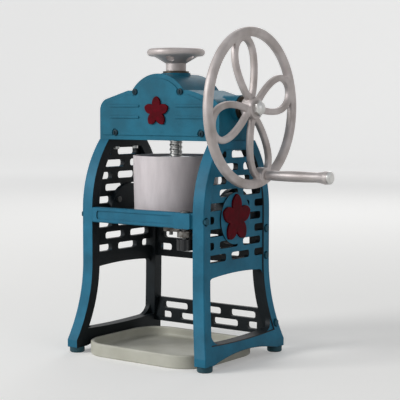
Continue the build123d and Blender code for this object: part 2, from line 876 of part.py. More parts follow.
# ---------------------------------------------------------------- ice drum
def ice_drum():
    """Open drum, slightly narrower at the foot, with an eased mouth."""
    outer = [(drum_bottom_radius, table_top), (drum_radius, drum_top)]
    inner = [(drum_radius - drum_wall, drum_top), (drum_bore, table_top)]
    drum = turned(Polygon(*outer, *inner, align=None))
    return fillet(drum.edges().group_by(Axis.Z)[-1], drum_wall / 3)


# ---------------------------------------------------------------- gear head
def head_outline(inset=0.0, floor=0.0):
    """Front view of the head: flat shoulders with a round dome between, in (x, z)."""
    half = head_half_width - inset
    bottom = head_bottom + floor
    side_top = head_bottom + head_shoulder_side - inset
    inner_top = head_bottom + head_shoulder_inner - inset
    points = [
        (half, bottom),
        (half, side_top),
        (head_shoulder_x, inner_top),
        (-head_shoulder_x, inner_top),
        (-half, side_top),
        (-half, bottom),
    ]
    body = Polygon(*points, align=None)
    corners = [v for v in body.vertices() if abs(v.Y - side_top) < 0.01]
    body = fillet(corners, head_corner - inset)
    dome = Pos(0, dome_middle) * Circle(dome_radius - inset)
    dome &= Pos(0, bottom + dome_radius) * Rectangle(3 * dome_radius, 2 * dome_radius)
    return body + dome


def cover_screw_places():
    low = (head_half_width - cover_screw_inset, head_bottom + cover_screw_rise)
    high = (dome_radius - cover_screw_step, dome_middle + cover_screw_height)
    return [(side * x, z) for x, z in (low, high) for side in (-1, 1)]


def head_housing():
    """Cast box open to the front, with bearing bosses and screw pillars inside."""
    back = top_half_depth
    shell = along_y(head_outline(), head_front, back)
    shell = chamfer(shell.faces().sort_by(Axis.Y)[-1].edges(), head_easing)
    hollow = along_y(head_outline(head_wall, head_floor), head_front, back - head_wall)
    housing = shell - hollow
    room = along_y(head_outline(head_wall / 2, head_floor / 2), head_front, back - head_wall / 2)
    pillar = screw_radius + screw_pillar_wall
    inside = rod(journal_radius + 2 * bush_wall, (0, 0, head_bottom), (0, 0, lower_boss_top))
    inside += bearing_pedestal()
    for x, z in cover_screw_places():
        inside += rod(pillar, (x, head_front, z), (x, back, z))
    for x, y in head_bolt_places():
        for side in (-1, 1):
            boss_top = head_bottom + head_floor + head_bolt_grip + 1
            inside += rod(pillar, (side * x, y, head_bottom), (side * x, y, boss_top))
    inside += rod(sleeve_radius + 2 * bush_wall, (0, 0, sleeve_boss_bottom), (0, 0, head_top))
    housing += inside & room
    boss_radius = bush_radius + boss_wall
    shaft_boss = rod(boss_radius, (outer_boss_start, 0, shaft_z), (outer_boss_end, 0, shaft_z))
    housing += shaft_boss
    housing += rod(sleeve_radius + 2 * bush_wall, (0, 0, head_top - 3), (0, 0, sleeve_boss_top))
    return cut(housing, head_bores())


def bearing_pedestal():
    """Web from the floor and the rear wall that carries the inner shaft bush."""
    radius = bush_radius + boss_wall
    web = Pos(0, shaft_z) * Circle(radius)
    foot = shaft_z - head_bottom
    web += Pos(0, shaft_z - foot / 2) * Rectangle(2 * radius, foot)
    web += Pos(top_half_depth / 2, shaft_z - foot / 2) * Rectangle(top_half_depth, foot)
    return along_x(web, inner_bush_start, inner_bush_end)


def head_bores():
    """Bush seats and blind screw holes of the head."""
    far = outer_boss_end + 1
    bores = [
        rod(bush_radius, (inner_bush_start - 1, 0, shaft_z), (far, 0, shaft_z)),
        rod(journal_radius + bush_wall, (0, 0, head_bottom), (0, 0, lower_boss_top)),
        rod(sleeve_radius + bush_wall, (0, 0, sleeve_boss_bottom), (0, 0, sleeve_boss_top)),
    ]
    for x, z in cover_screw_places():
        bores.append(rod(screw_radius, (x, head_front, z), (x, head_front + cover_screw_depth, z)))
    for x, y in head_bolt_places():
        for side in (-1, 1):
            top = head_bottom + head_floor + head_bolt_grip
            bores.append(rod(screw_radius, (side * x, y, head_bottom), (side * x, y, top)))
    return bores


def front_cover():
    """Plate with a raised field, two horizontal ribs and a round seat for the ornament."""
    front = -top_half_depth
    cover = along_y(head_outline(), front, head_front)
    field = head_outline(cover_border, cover_border)
    for x, z in cover_screw_places():
        field -= Pos(x, z) * Circle(screw_head_radius + 1.2)
    cover += along_y(field, front - cover_relief, front)
    rib = RectangleRounded(cover_rib_length, cover_rib_height, 1.0)
    for side in (-1, 1):
        for z in (ornament_z - cover_rib_spacing / 2, ornament_z + cover_rib_spacing / 2):
            cover += along_y(Pos(side * cover_rib_middle, z) * rib, front - 2 * cover_relief, front)
    holes = [rod(screw_radius, (x, front, z), (x, head_front, z)) for x, z in cover_screw_places()]
    return cut(cover, holes + ornament_studs())


def ornament_studs():
    """Two studs on the back of the front ornament."""
    face = -top_half_depth - cover_relief
    studs = []
    for side in (-1, 1):
        x = side * front_ornament_radius * ornament_stud_share
        ends = [(x, y, ornament_z) for y in (face, face + ornament_stud_length)]
        studs.append(rod(ornament_stud_radius, *ends))
    return studs


def cover_screws():
    screws = []
    front = -top_half_depth
    for x, z in cover_screw_places():
        head = rod(screw_head_radius, (x, front - screw_head_height, z), (x, front, z))
        screws.append(head + rod(screw_radius, (x, front, z), (x, head_front + cover_screw_depth, z)))
    return group(screws)


def star_leaf(radius):
    """Plain ornament of five pointed lobes, each side of a lobe one arc."""
    lobe = 2 * pi / 5
    edges = []
    for index in range(5):
        tip = pi / 2 + index * lobe
        for side in (-1, 1):
            valley = tip + side * lobe / 2
            belly = tip + side * lobe * 0.22
            edges.append(ThreePointArc(
                (radius * cos(tip), radius * sin(tip)),
                (radius * ornament_belly * cos(belly), radius * ornament_belly * sin(belly)),
                (radius * ornament_valley * cos(valley), radius * ornament_valley * sin(valley)),
            ))
    return make_face(edges)


def front_ornament():
    face = -top_half_depth - cover_relief
    leaf = Pos(0, ornament_z) * star_leaf(front_ornament_radius)
    ornament = along_y(leaf, face - ornament_thickness, face)
    for stud in ornament_studs():
        ornament += stud
    return ornament


def side_ornament():
    leaf = Pos(side_ornament_y, side_ornament_z) * star_leaf(side_ornament_radius)
    return along_x(leaf, frame_outer, frame_outer + ornament_thickness)


# ---------------------------------------------------------------- bushes
def outer_shaft_bush():
    start = outer_boss_start
    flange_end = outer_boss_end + bush_flange
    bush = rod(bush_radius, (start, 0, shaft_z), (outer_boss_end, 0, shaft_z))
    bush += rod(bush_radius + 2.5, (outer_boss_end, 0, shaft_z), (flange_end, 0, shaft_z))
    return bush - rod(shaft_radius + running_clearance, (start, 0, shaft_z), (flange_end, 0, shaft_z))


def inner_shaft_bush():
    ends = [(x, 0, shaft_z) for x in (inner_bush_start, inner_bush_end)]
    return rod(bush_radius, *ends) - rod(shaft_radius + running_clearance, *ends)


def lower_gear_bush():
    radius = journal_radius + bush_wall
    bush = rod(radius, (0, 0, head_bottom), (0, 0, lower_boss_top))
    bush += rod(radius + 2, (0, 0, lower_boss_top), (0, 0, lower_boss_top + bush_flange))
    bore = journal_radius + running_clearance
    return bush - rod(bore, (0, 0, head_bottom), (0, 0, lower_boss_top + bush_flange))


def upper_sleeve_bush():
    radius = sleeve_radius + bush_wall
    top = sleeve_boss_top + bush_flange
    bush = rod(radius, (0, 0, sleeve_boss_bottom), (0, 0, sleeve_boss_top))
    bush += rod(radius + 1.5, (0, 0, sleeve_boss_top), (0, 0, top))
    return bush - rod(sleeve_radius + running_clearance, (0, 0, sleeve_boss_bottom), (0, 0, top))


# ---------------------------------------------------------------- bevel gears
def bevel_wheel(teeth, own_radius, mate_radius, phase):
    """Straight bevel wheel about +Z with its cone apex at the origin, teeth below the apex."""
    addendum = tooth_tip * gear_module
    dedendum = tooth_root * gear_module
    half_pitch = pi * gear_module / 4 - backlash / 2
    out = Vector(own_radius, 0, -mate_radius) / cone_length      # along the pitch cone
    up = Vector(mate_radius, 0, own_radius) / cone_length        # away from the wheel's body

    def section(scale, half_width_low, half_width_high):
        low = out * cone_length * scale - up * dedendum * scale * 1.02
        high = out * cone_length * scale + up * addendum * scale
        side = Vector(0, scale, 0)
        corners = [
            low - side * half_width_low, low + side * half_width_low,
            high + side * half_width_high, high - side * half_width_high,
        ]
        return Face(Wire.make_polygon([tuple(corner) for corner in corners]))

    slope = tan(radians(pressure_angle))
    low_half = half_pitch + dedendum * slope
    high_half = half_pitch - addendum * slope
    inner_scale = 1 - gear_face / cone_length
    tooth = loft([section(1, low_half, high_half), section(inner_scale, low_half, high_half)], ruled=True)
    root = [out * cone_length * scale - up * dedendum * scale for scale in (1, inner_scale)]
    back = root[0] - up * gear_module
    points = [(root[0].X, root[0].Z), (root[1].X, root[1].Z), (0, root[1].Z), (0, back.Z), (back.X, back.Z)]
    wheel = turned(Polygon(*points, align=None))
    for index in range(teeth):
        wheel += Rot(0, 0, phase + 360 / teeth * index) * tooth
    return wheel


def bevel_gear():
    """Large wheel on the spindle, with a hub that runs in the floor of the head."""
    gear = Pos(0, 0, shaft_z) * bevel_wheel(gear_teeth, gear_pitch_radius, pitch_radius, 0)
    seat = lower_boss_top + bush_flange
    gear += rod(journal_radius + 2, (0, 0, seat), (0, 0, shaft_z - pitch_radius - 3))
    gear += rod(journal_radius, (0, 0, gear_hub_bottom), (0, 0, seat))
    bore_top = shaft_z
    gear -= rod(spindle_radius + running_clearance, (0, 0, gear_hub_bottom), (0, 0, bore_top))
    return gear - drive_key()


def drive_key():
    reach = spindle_radius + 2.0
    inner = spindle_radius - keyway_depth + key_play
    half = keyway_width / 2
    low = gear_hub_bottom + 4
    return box((inner, reach), (-half, half), (low, low + key_length))


def bevel_pinion():
    """Small wheel on the crank shaft; its cone apex is on the spindle's axis."""
    pinion = bevel_wheel(pinion_teeth, pitch_radius, gear_pitch_radius, 180 / pinion_teeth)
    pinion = Pos(0, 0, shaft_z) * Rot(0, -90, 0) * pinion
    hub_end = inner_bush_start - 1
    pinion += rod(pitch_radius - 3, (gear_pitch_radius, 0, shaft_z), (hub_end, 0, shaft_z))
    pinion -= rod(shaft_step_radius, (0, 0, shaft_z), (hub_end, 0, shaft_z))
    return pinion - pinion_pin()


def pinion_pin():
    x = inner_bush_start - 4
    half = pitch_radius - 3
    return rod(pinion_pin_radius, (x, -half, shaft_z), (x, half, shaft_z))


# ---------------------------------------------------------------- crank shaft and flywheel
def crank_shaft():
    step = inner_bush_start - 1
    shaft = rod(shaft_radius, (step, 0, shaft_z), (hub_outer, 0, shaft_z))
    shaft += rod(shaft_step_radius, (shaft_start, 0, shaft_z), (step, 0, shaft_z))
    shaft += rod(shaft_step_radius, (hub_outer, 0, shaft_z), (hub_outer + nut_length - nut_skin, 0, shaft_z))
    return shaft - pinion_pin()


def shaft_collar():
    start = inner_bush_end + collar_play
    ends = [(x, 0, shaft_z) for x in (start, start + collar_length)]
    return rod(bush_radius, *ends) - rod(shaft_radius, *ends)


def hub_nut():
    """Domed nut on the end of the shaft."""
    nut_radius = shaft_step_radius + nut_wall
    end = hub_outer + nut_length
    dome_start = end - nut_dome
    nut = hexagon(nut_radius, (hub_outer, 0, shaft_z), (dome_start, 0, shaft_z))
    base = nut_radius * cos(pi / 6) - 0.2
    ball = (nut_dome**2 + base**2) / (2 * nut_dome)
    turn = atan2(base, ball - nut_dome) / 2
    middle = (end - ball + ball * cos(turn), ball * sin(turn))
    half = make_face([
        Line((dome_start, 0), (dome_start, base)),
        ThreePointArc((dome_start, base), middle, (end, 0)),
        Line((end, 0), (dome_start, 0)),
    ])
    nut += Pos(0, 0, shaft_z) * revolve(Plane.XZ * half, Axis.X)
    return nut - rod(shaft_step_radius, (hub_outer, 0, shaft_z), (end - nut_skin, 0, shaft_z))


def egg(shrink=0.0):
    """Closed outline of a spoke loop: a small arc at the hub, a large one at the rim, long bowed sides."""
    big = loop_big_radius - shrink
    small = loop_small_radius - shrink
    bulge = loop_bulge - shrink
    small_at = loop_hub_reach + loop_small_radius
    big_at = wheel_radius - rim_width + loop_rim_reach - loop_big_radius
    span = big_at - small_at
    to_small = loop_bulge - loop_small_radius
    to_big = loop_bulge - loop_big_radius
    along = (to_small**2 - to_big**2 + span**2) / (2 * span)
    centre = Vector(small_at + along, -sqrt(to_small**2 - along**2))

    def touch(end_at, radius):
        way = (Vector(end_at, 0) - centre).normalized()
        return Vector(end_at, 0) + way * radius

    low = touch(small_at, small)
    high = touch(big_at, big)
    middle_way = ((low + high) / 2 - centre).normalized()
    side = ThreePointArc(low, centre + middle_way * bulge, high)
    hub_end = ThreePointArc(low, (small_at - small, 0), (low.X, -low.Y))
    rim_end = ThreePointArc(high, (big_at + big, 0), (high.X, -high.Y))
    return make_face([side, mirror(side, Plane.XZ), hub_end, rim_end])


def spoke_loop():
    """One open loop, lying in the wheel's plane along +X, with eased edges."""
    half = loop_thickness / 2
    loop = along_z(egg() - egg(loop_bar), -half, half)
    rims = loop.edges().group_by(Axis.Z)
    return chamfer([*rims[0], *rims[-1]], loop_easing)


def flywheel():
    """Cast wheel about +X: round-edged rim, four loops and a hub; one loop points at the handle."""
    rim = RectangleRounded(rim_width, rim_thickness, rim_rounding)
    wheel = turned(Pos(rim_middle, 0) * rim)
    for index in range(loop_count):
        wheel += Rot(0, 0, 360 / loop_count * index) * spoke_loop()
    half = hub_length / 2
    hub = rod(hub_radius, (0, 0, -half), (0, 0, half))
    wheel += chamfer(hub.edges().group_by(Axis.Z)[-1], 1.5)
    boss_ends = [(handle_arm, 0, z) for z in (-rim_thickness / 2 - 1, handle_seat() - wheel_x)]
    boss = rod(grip_boss_radius, *boss_ends)
    wheel += boss
    wheel -= rod(shaft_radius, (0, 0, -half), (0, 0, half))
    wheel -= rod(pin_radius, (handle_arm, 0, -rim_thickness), (handle_arm, 0, rim_thickness))
    about_shaft = Rot(handle_turn(), 0, 0) * Rot(0, 90, 0)
    return Pos(wheel_x, 0, shaft_z) * about_shaft * wheel


def handle_turn():
    """Turn about +X that brings the first loop, which starts straight down, to the handle."""
    return degrees(atan2(handle_y, shaft_z - handle_z))


def handle_seat():
    return wheel_x + rim_thickness / 2 + grip_boss_rise


def crank_pin():
    low = (wheel_x - rim_thickness / 2 - 1, handle_y, handle_z)
    pin = rod(pin_radius, low, (handle_end - handle_cap / 2, handle_y, handle_z))
    return pin + rod(pin_radius + pin_head_wall, (low[0] - 2, handle_y, handle_z), low)


def pin_end_cap():
    """Domed cap on the pin that keeps the grip on."""
    start = handle_end - handle_cap
    cap = rod(grip_end_radius - handle_play, (start, 0, 0), (handle_end, 0, 0))
    cap = fillet(cap.edges().group_by(Axis.X)[-1], handle_cap * 0.8)
    cap -= rod(pin_radius, (start, 0, 0), (handle_end - handle_cap / 2, 0, 0))
    return Pos(0, handle_y, handle_z) * cap


def handle_grip():
    """Turned metal grip that swells toward its free end."""
    start = handle_seat() + handle_play
    end = handle_end - handle_cap - handle_play
    bore = pin_radius + running_clearance
    swell = end - grip_swell
    belly = (grip_radius + grip_end_radius - grip_crown) / 2
    root = grip_radius - grip_crown
    neck = grip_radius - grip_crown / 3
    edges = [
        Line((start, bore), (start, root)),
        ThreePointArc((start, root), ((start + swell) / 2, grip_radius), (swell, neck)),
        ThreePointArc((swell, neck), (swell + grip_swell / 3, belly), (end - 4, grip_end_radius)),
        Line((end - 4, grip_end_radius), (end, grip_end_radius - handle_play)),
        Line((end, grip_end_radius - handle_play), (end, bore)),
        Line((end, bore), (start, bore)),
    ]
    grip = revolve(Plane.XZ * make_face(edges), Axis.X)
    return Pos(0, handle_y, handle_z) * grip


# ---------------------------------------------------------------- feed spindle and handwheel
def feed_spindle():
    spindle = rod(spindle_radius, (0, 0, plate_top), (0, 0, spindle_top))
    spindle = chamfer(spindle.edges().group_by(Axis.Z)[-1], 1.0)
    spindle += rod(spindle_step_radius, (0, 0, plate_bottom - spindle_nut_height), (0, 0, plate_top))
    half = keyway_width / 2 + key_play
    floor = spindle_radius - keyway_depth
    return spindle - box((floor, spindle_radius + 1), (-half, half), (plate_top + 2, spindle_top + 1))


def spike_plate():
    """Round plate that presses on the ice, with a turned back and a hole for each spike."""
    points = [
        (spindle_step_radius, plate_bottom), (plate_radius, plate_bottom),
        (plate_radius, plate_top - 2), (spindle_radius + 6, plate_top), (spindle_step_radius, plate_top),
    ]
    return turned(Polygon(*points, align=None))


def spike_places():
    """(radius, angle) of each spike: an outer ring of eight and an inner ring of four."""
    outer = [(plate_radius - 9, 45 * index) for index in range(8)]
    return outer + [(plate_radius / 2 - 2, 90 * index + 22.5) for index in range(4)]


def plate_spikes():
    """Four-sided points."""
    spikes = []
    for radius, angle in spike_places():
        base = Rectangle(spike_base, spike_base)
        tip = Pos(0, 0, -spike_length) * Rectangle(spike_tip, spike_tip)
        spike = loft([base.face(), tip.face()], ruled=True)
        spikes.append(Pos(0, 0, plate_bottom) * Rot(0, 0, angle) * Pos(radius, 0, 0) * spike)
    return group(spikes)


def spindle_nut():
    low = plate_bottom - spindle_nut_height
    nut = hexagon(spindle_radius + 1.5, (0, 0, low), (0, 0, plate_bottom))
    return nut - rod(spindle_step_radius, (0, 0, low), (0, 0, plate_bottom))


def feed_handwheel():
    """Rimmed wheel with a dished, pierced web; its long sleeve is the feed nut."""
    rim_at = handwheel_radius - handwheel_rim
    rim_z = handwheel_top - handwheel_rim
    hub_bottom = sleeve_boss_top + bush_flange + handle_play
    hub_top = handwheel_top - handwheel_rim - 1
    root = sleeve_hub_radius - 1
    root_z = (hub_bottom + hub_top) / 2 - 2
    web = Polygon(
        (root, root_z), (rim_at, rim_z - handwheel_web / 2),
        (rim_at, rim_z + handwheel_web / 2), (root, root_z + handwheel_web), align=None,
    )
    wheel = turned(web)
    window = Pos((sleeve_hub_radius + rim_at) / 2, 0, hub_bottom) * Cylinder(
        handwheel_window, 2 * (handwheel_top - hub_bottom)
    )
    for index in range(handwheel_windows):
        wheel -= Rot(0, 0, 360 / handwheel_windows * index) * window
    wheel += turned(Pos(rim_at, rim_z) * Circle(handwheel_rim))
    wheel += rod(sleeve_hub_radius, (0, 0, hub_bottom), (0, 0, hub_top))
    wheel += rod(sleeve_radius, (0, 0, sleeve_bottom), (0, 0, hub_bottom))
    return wheel - rod(spindle_radius + running_clearance, (0, 0, sleeve_bottom), (0, 0, hub_top))


def sleeve_collar():
    """Ring on the sleeve, under the head's top boss, that holds the handwheel down."""
    top = sleeve_boss_bottom - collar_play
    ends = [(0, 0, z) for z in (top - sleeve_collar_height, top)]
    return rod(sleeve_radius + sleeve_collar_wall, *ends) - rod(sleeve_radius, *ends)


# ---------------------------------------------------------------- drip tray
def drip_tray():
    """Round-cornered tray with a rounded rim, open at the top."""
    width = 2 * (frame_surface(tray_height, leg_width) - tray_gap)
    outer = along_z(RectangleRounded(width, tray_depth, tray_corner), 0, tray_height)
    inside = RectangleRounded(width - 2 * tray_wall, tray_depth - 2 * tray_wall, tray_corner - tray_wall)
    hollow = along_z(inside, tray_floor, tray_height)
    hollow = fillet(hollow.edges().group_by(Axis.Z)[0], 2 * tray_rounding)
    tray = outer - hollow
    rims = tray.edges().group_by(Axis.Z)
    tray = fillet(rims[-1], tray_rounding)
    tray = chamfer(tray.edges().group_by(Axis.Z)[0], 1.0)
    return Pos(0, tray_front + tray_depth / 2, 0) * tray


# ---------------------------------------------------------------- nodes
nodes = {
    "right_side_frame": side_frame(True),
    "left_side_frame": mirror(side_frame(False), Plane.YZ),
    "front_crossbar": front_crossbar(),
    "rear_upper_lattice": rear_upper_lattice(),
    "rear_lower_lattice": rear_lower_lattice(),
    "frame_bolts": frame_bolts(),
    "foot_pads": foot_pads(),
    "blade_table": blade_table(),
    "table_screws": table_screws(),
    "guide_pins": guide_pins(),
    "blade_carrier": blade_carrier(),
    "blade": blade(),
    "blade_screws": blade_screws(),
    "adjuster_screw": adjuster_screw(),
    "adjuster_clip": adjuster_clip(),
    "adjuster_knob": adjuster_knob(),
    "ice_drum": ice_drum(),
    "head_housing": head_housing(),
    "head_bolts": head_bolts(),
    "front_cover": front_cover(),
    "cover_screws": cover_screws(),
    "front_ornament": front_ornament(),
    "side_ornament": side_ornament(),
    "outer_shaft_bush": outer_shaft_bush(),
    "inner_shaft_bush": inner_shaft_bush(),
    "lower_gear_bush": lower_gear_bush(),
    "upper_sleeve_bush": upper_sleeve_bush(),
    "bevel_gear": bevel_gear(),
    "drive_key": drive_key(),
    "bevel_pinion": bevel_pinion(),
    "pinion_pin": pinion_pin(),
    "crank_shaft": crank_shaft(),
    "shaft_collar": shaft_collar(),
    "flywheel": flywheel(),
    "hub_nut": hub_nut(),
    "crank_pin": crank_pin(),
    "pin_end_cap": pin_end_cap(),
    "handle_grip": handle_grip(),
    "feed_spindle": feed_spindle(),
    "spike_plate": spike_plate(),
    "plate_spikes": plate_spikes(),
    "spindle_nut": spindle_nut(),
    "feed_handwheel": feed_handwheel(),
    "sleeve_collar": sleeve_collar(),
    "drip_tray": drip_tray(),
}

os.makedirs("parts", exist_ok=True)
for name, solid in nodes.items():
    export_step(solid, f"parts/{name}.step")
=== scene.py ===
import json
from math import cos, pi, radians, sin

import bpy
from mathutils import Matrix, Vector


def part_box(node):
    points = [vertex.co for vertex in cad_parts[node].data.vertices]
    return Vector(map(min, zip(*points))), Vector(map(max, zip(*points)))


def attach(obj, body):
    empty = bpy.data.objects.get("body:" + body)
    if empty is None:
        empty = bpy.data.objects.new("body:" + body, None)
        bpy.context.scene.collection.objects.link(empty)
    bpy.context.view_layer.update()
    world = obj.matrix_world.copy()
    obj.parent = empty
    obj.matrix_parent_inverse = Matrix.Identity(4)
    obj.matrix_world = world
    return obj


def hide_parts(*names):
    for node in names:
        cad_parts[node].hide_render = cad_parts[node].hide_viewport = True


# Looks of a hand cranked ice shaver: enamelled castings, a looped flywheel and a feed handwheel.
# Metres. +X is the crank side, -Y the front, +Z up.
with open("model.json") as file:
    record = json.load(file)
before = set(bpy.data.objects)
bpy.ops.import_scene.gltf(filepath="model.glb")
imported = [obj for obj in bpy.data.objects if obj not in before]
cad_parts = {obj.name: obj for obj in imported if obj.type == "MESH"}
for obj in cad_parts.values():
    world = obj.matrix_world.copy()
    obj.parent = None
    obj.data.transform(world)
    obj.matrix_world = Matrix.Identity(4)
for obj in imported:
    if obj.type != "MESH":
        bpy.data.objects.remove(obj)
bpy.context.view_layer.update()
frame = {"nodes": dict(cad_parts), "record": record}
MM = 0.001
SLOTS = {part["node"]: part["material_slot"] for part in frame["record"]["subparts"]}


# ---------------------------------------------------------------- node trees
class Wire:
    """One output of a node tree. Sums and comparisons of wires add Math nodes."""

    def __init__(self, tree, socket):
        self.tree = tree
        self.socket = socket

    def __add__(self, other):
        return self.tree.maths("ADD", self, other)

    def __radd__(self, other):
        return self.tree.maths("ADD", other, self)

    def __sub__(self, other):
        return self.tree.maths("SUBTRACT", self, other)

    def __rsub__(self, other):
        return self.tree.maths("SUBTRACT", other, self)

    def __mul__(self, other):
        return self.tree.maths("MULTIPLY", self, other)

    def __rmul__(self, other):
        return self.tree.maths("MULTIPLY", other, self)

    def __truediv__(self, other):
        return self.tree.maths("DIVIDE", self, other)

    def __gt__(self, other):
        return self.tree.maths("GREATER_THAN", self, other)

    def __lt__(self, other):
        return self.tree.maths("LESS_THAN", self, other)

    def larger(self, other):
        return self.tree.maths("MAXIMUM", self, other)

    def power(self, exponent):
        return self.tree.maths("POWER", self, exponent)

    def sign(self):
        return self.tree.maths("SIGN", self)

    def absolute(self):
        return self.tree.maths("ABSOLUTE", self)

    def fraction(self):
        return self.tree.maths("FRACT", self)

    def sine(self):
        return self.tree.maths("SINE", self)

    def cosine(self):
        return self.tree.maths("COSINE", self)

    def within(self, low, high):
        """0 at low, 1 at high, held between them."""
        return self.tree.node("ShaderNodeMapRange", values={0: self, 1: low, 2: high})


class Tree:
    """A node tree, for a finish or for a piece that follows a rule."""

    def __init__(self, group):
        self.group = group

    def node(self, kind, settings=None, values=None, output=0):
        """A node with its settings and the values or wires of its inputs; one of its outputs as a wire."""
        made = self.group.nodes.new(kind)
        for key, value in (settings or {}).items():
            setattr(made, key, value)
        for key, value in (values or {}).items():
            self.feed(made.inputs[key], value)
        return Wire(self, made.outputs[output])

    def feed(self, socket, value):
        if isinstance(value, Wire):
            self.group.links.new(value.socket, socket)
        else:
            socket.default_value = value

    def maths(self, operation, *values):
        return self.node("ShaderNodeMath", {"operation": operation}, dict(enumerate(values)))

    def axes(self, vector):
        """The x, y and z of a vector."""
        return [self.node("ShaderNodeSeparateXYZ", values={0: vector}, output=name) for name in "XYZ"]


class Finish(Tree):
    """A material. Its patterns read Object coordinates, in metres."""

    def __init__(self, name):
        self.material = bpy.data.materials.new(name)
        self.material.use_nodes = True
        super().__init__(self.material.node_tree)
        self.surface = self.group.nodes["Principled BSDF"]
        self.place = self.node("ShaderNodeTexCoord", output="Object")
        self.facing = self.node("ShaderNodeNewGeometry", output="Normal")

    def noise(self, size, detail=3.0, roughness=0.55, at=None):
        """Soft pattern, 0 to 1, whose features are about this large."""
        values = {"Vector": at or self.place, "Scale": 1.0 / size, "Detail": detail, "Roughness": roughness}
        return self.node("ShaderNodeTexNoise", values=values)

    def stretched(self, x=1.0, y=1.0, z=1.0):
        """Place, with each axis scaled."""
        return self.node("ShaderNodeVectorMath", {"operation": "MULTIPLY"}, {0: self.place, 1: (x, y, z)})

    def blend(self, share, low, high):
        """The colour low where the share is 0, high where it is 1."""
        return self.node("ShaderNodeMix", {"data_type": "RGBA"}, {0: share, 6: low, 7: high}, output=2)

    def eased(self, radius):
        """Normal of the surface as if its edges had this radius."""
        return self.node("ShaderNodeBevel", {"samples": 4}, {"Radius": radius}, output="Normal")

    def edges(self, radius):
        """1 along sharp edges, 0 on flat faces."""
        values = {0: self.eased(radius), 1: self.facing}
        alike = self.node("ShaderNodeVectorMath", {"operation": "DOT_PRODUCT"}, values, output="Value")
        flat, sharp = 0.02, 0.25
        return (1.0 - alike).within(flat, sharp)

    def bump(self, height, depth, edge):
        """Normal of a surface with this relief, whose edges have this radius."""
        values = {"Height": height, "Distance": depth, "Normal": self.eased(edge)}
        return self.node("ShaderNodeBump", values=values)

    def set(self, **sockets):
        """Feed the shader's sockets; an underscore stands for a space."""
        for name, value in sockets.items():
            self.feed(self.surface.inputs[name.replace("_", " ")], value)
        return self.material


def colour(red, green, blue):
    """Colour from 0 to 255 as seen on a screen, in the linear values of a shader."""
    # up to this level the screen's curve is straight
    last_dark_level = 10
    linear = [
        ((level / 255 + 0.055) / 1.055) ** 2.4 if level > last_dark_level else level / 255 / 12.92
        for level in (red, green, blue)
    ]
    return (*linear, 1.0)


def shaded(tint, share):
    """The same colour, darker or lighter."""
    return (*(min(1.0, level * share) for level in tint[:3]), 1.0)


# ---------------------------------------------------------------- finishes
# wear and rounding along the edges of the castings
CAST_EDGE = 0.8 * MM
# where the lattices of the side frames lie; above the shoulder the frame narrows on an arc
SIDE_LATTICE_X = 67 * MM
SIDE_LATTICE_Y = 48.5 * MM
LATTICE_TOP = 196 * MM
SHOULDER_Z = 155 * MM
SHOULDER_RADIUS = 109 * MM


def cast_enamel(name, paint, inside_shade_colour=None):
    """Enamel over a sand casting: cloudy tone, dark specks, rubbed thin at a few edges.

    The colour given for the faces that look toward the middle is painted shade, standing in for the shadow
    inside the machine."""
    finish = Finish(name)
    clouds = finish.noise(size=24 * MM, detail=5.0)
    grain = finish.noise(size=1.5 * MM, detail=4.0, roughness=0.65)
    tone = finish.blend(clouds.within(0.32, 0.68), shaded(paint, 0.78), shaded(paint, 1.14))
    tone = finish.blend(grain.within(0.52, 0.8) * 0.4, tone, shaded(paint, 0.6))
    rubbed = finish.edges(CAST_EDGE) * finish.noise(size=5 * MM, detail=5.0).within(0.54, 0.66)
    tone = finish.blend(rubbed * 0.35, tone, shaded(paint, 1.9))
    if inside_shade_colour is not None:
        # painted shade: the faces that look toward the middle take a near-black tone, as if the inside of the
        # machine lay in shadow
        inside_shade_tone = finish.blend(clouds.within(0.3, 0.7), shaded(inside_shade_colour, 0.7), shaded(inside_shade_colour, 1.3))
        tone = finish.blend(inside_shade_mask(finish), tone, inside_shade_tone)
    height = grain * 0.6 + finish.noise(size=6 * MM)
    return finish.set(
        Base_Color=tone,
        Roughness=0.46 + grain * 0.2 + rubbed * 0.1,
        Normal=finish.bump(height, depth=0.12 * MM, edge=CAST_EDGE),
        Specular_IOR_Level=0.22,
        Coat_Weight=0.03,
        Coat_Roughness=0.3,
    )


def inside_shade_mask(finish):
    """Mask of the painted shade: 1 on faces that look toward the middle of the machine, and inside the
    openings of its lattices.
    """
    # the share of its normal at which a face begins to count, and the share at which it counts in full
    facing_in, facing_along, turned_off = (0.25, 0.5), (0.3, 0.6), (0.4, 0.7)
    x, y, z = finish.axes(finish.place)
    face_x, face_y, face_z = finish.axes(finish.facing)
    across = (0.0 - face_x * x.sign()).within(*facing_in)
    along = (0.0 - face_y * y.sign()).within(*facing_in)
    in_side = x * x > SIDE_LATTICE_X**2
    over_shoulder = (z - SHOULDER_Z).larger(0.0)
    half_depth = SIDE_LATTICE_Y - over_shoulder * over_shoulder / (2 * SHOULDER_RADIUS)
    level = (face_z * face_z).within(*facing_along) * in_side * (z < LATTICE_TOP)
    ends = (face_y * face_y).within(*facing_along) * in_side * (y * y < half_depth * half_depth)
    behind = (1.0 - face_y * face_y).within(*turned_off) * (1.0 - in_side) * (y > 0.0)
    return across.larger(along).larger(level).larger(ends).larger(behind)


def cast_metal(name, tint, shade, sheen=0.42):
    """Cast and brushed light metal: calm tone, browner in clouds, smoother along its worn edges."""
    finish = Finish(name)
    clouds = finish.noise(size=34 * MM)
    grain = finish.noise(size=0.9 * MM, detail=5.0, roughness=0.7)
    tone = finish.blend(clouds.within(0.35, 0.75) * 0.7, tint, shade)
    tone = finish.blend(grain.within(0.55, 0.85) * 0.25, tone, shaded(shade, 0.8))
    worn = finish.edges(CAST_EDGE)
    return finish.set(
        Base_Color=tone,
        Metallic=0.45,
        Roughness=sheen + grain * 0.18 - worn * 0.08,
        Normal=finish.bump(grain + clouds, depth=0.05 * MM, edge=0.7 * MM),
    )


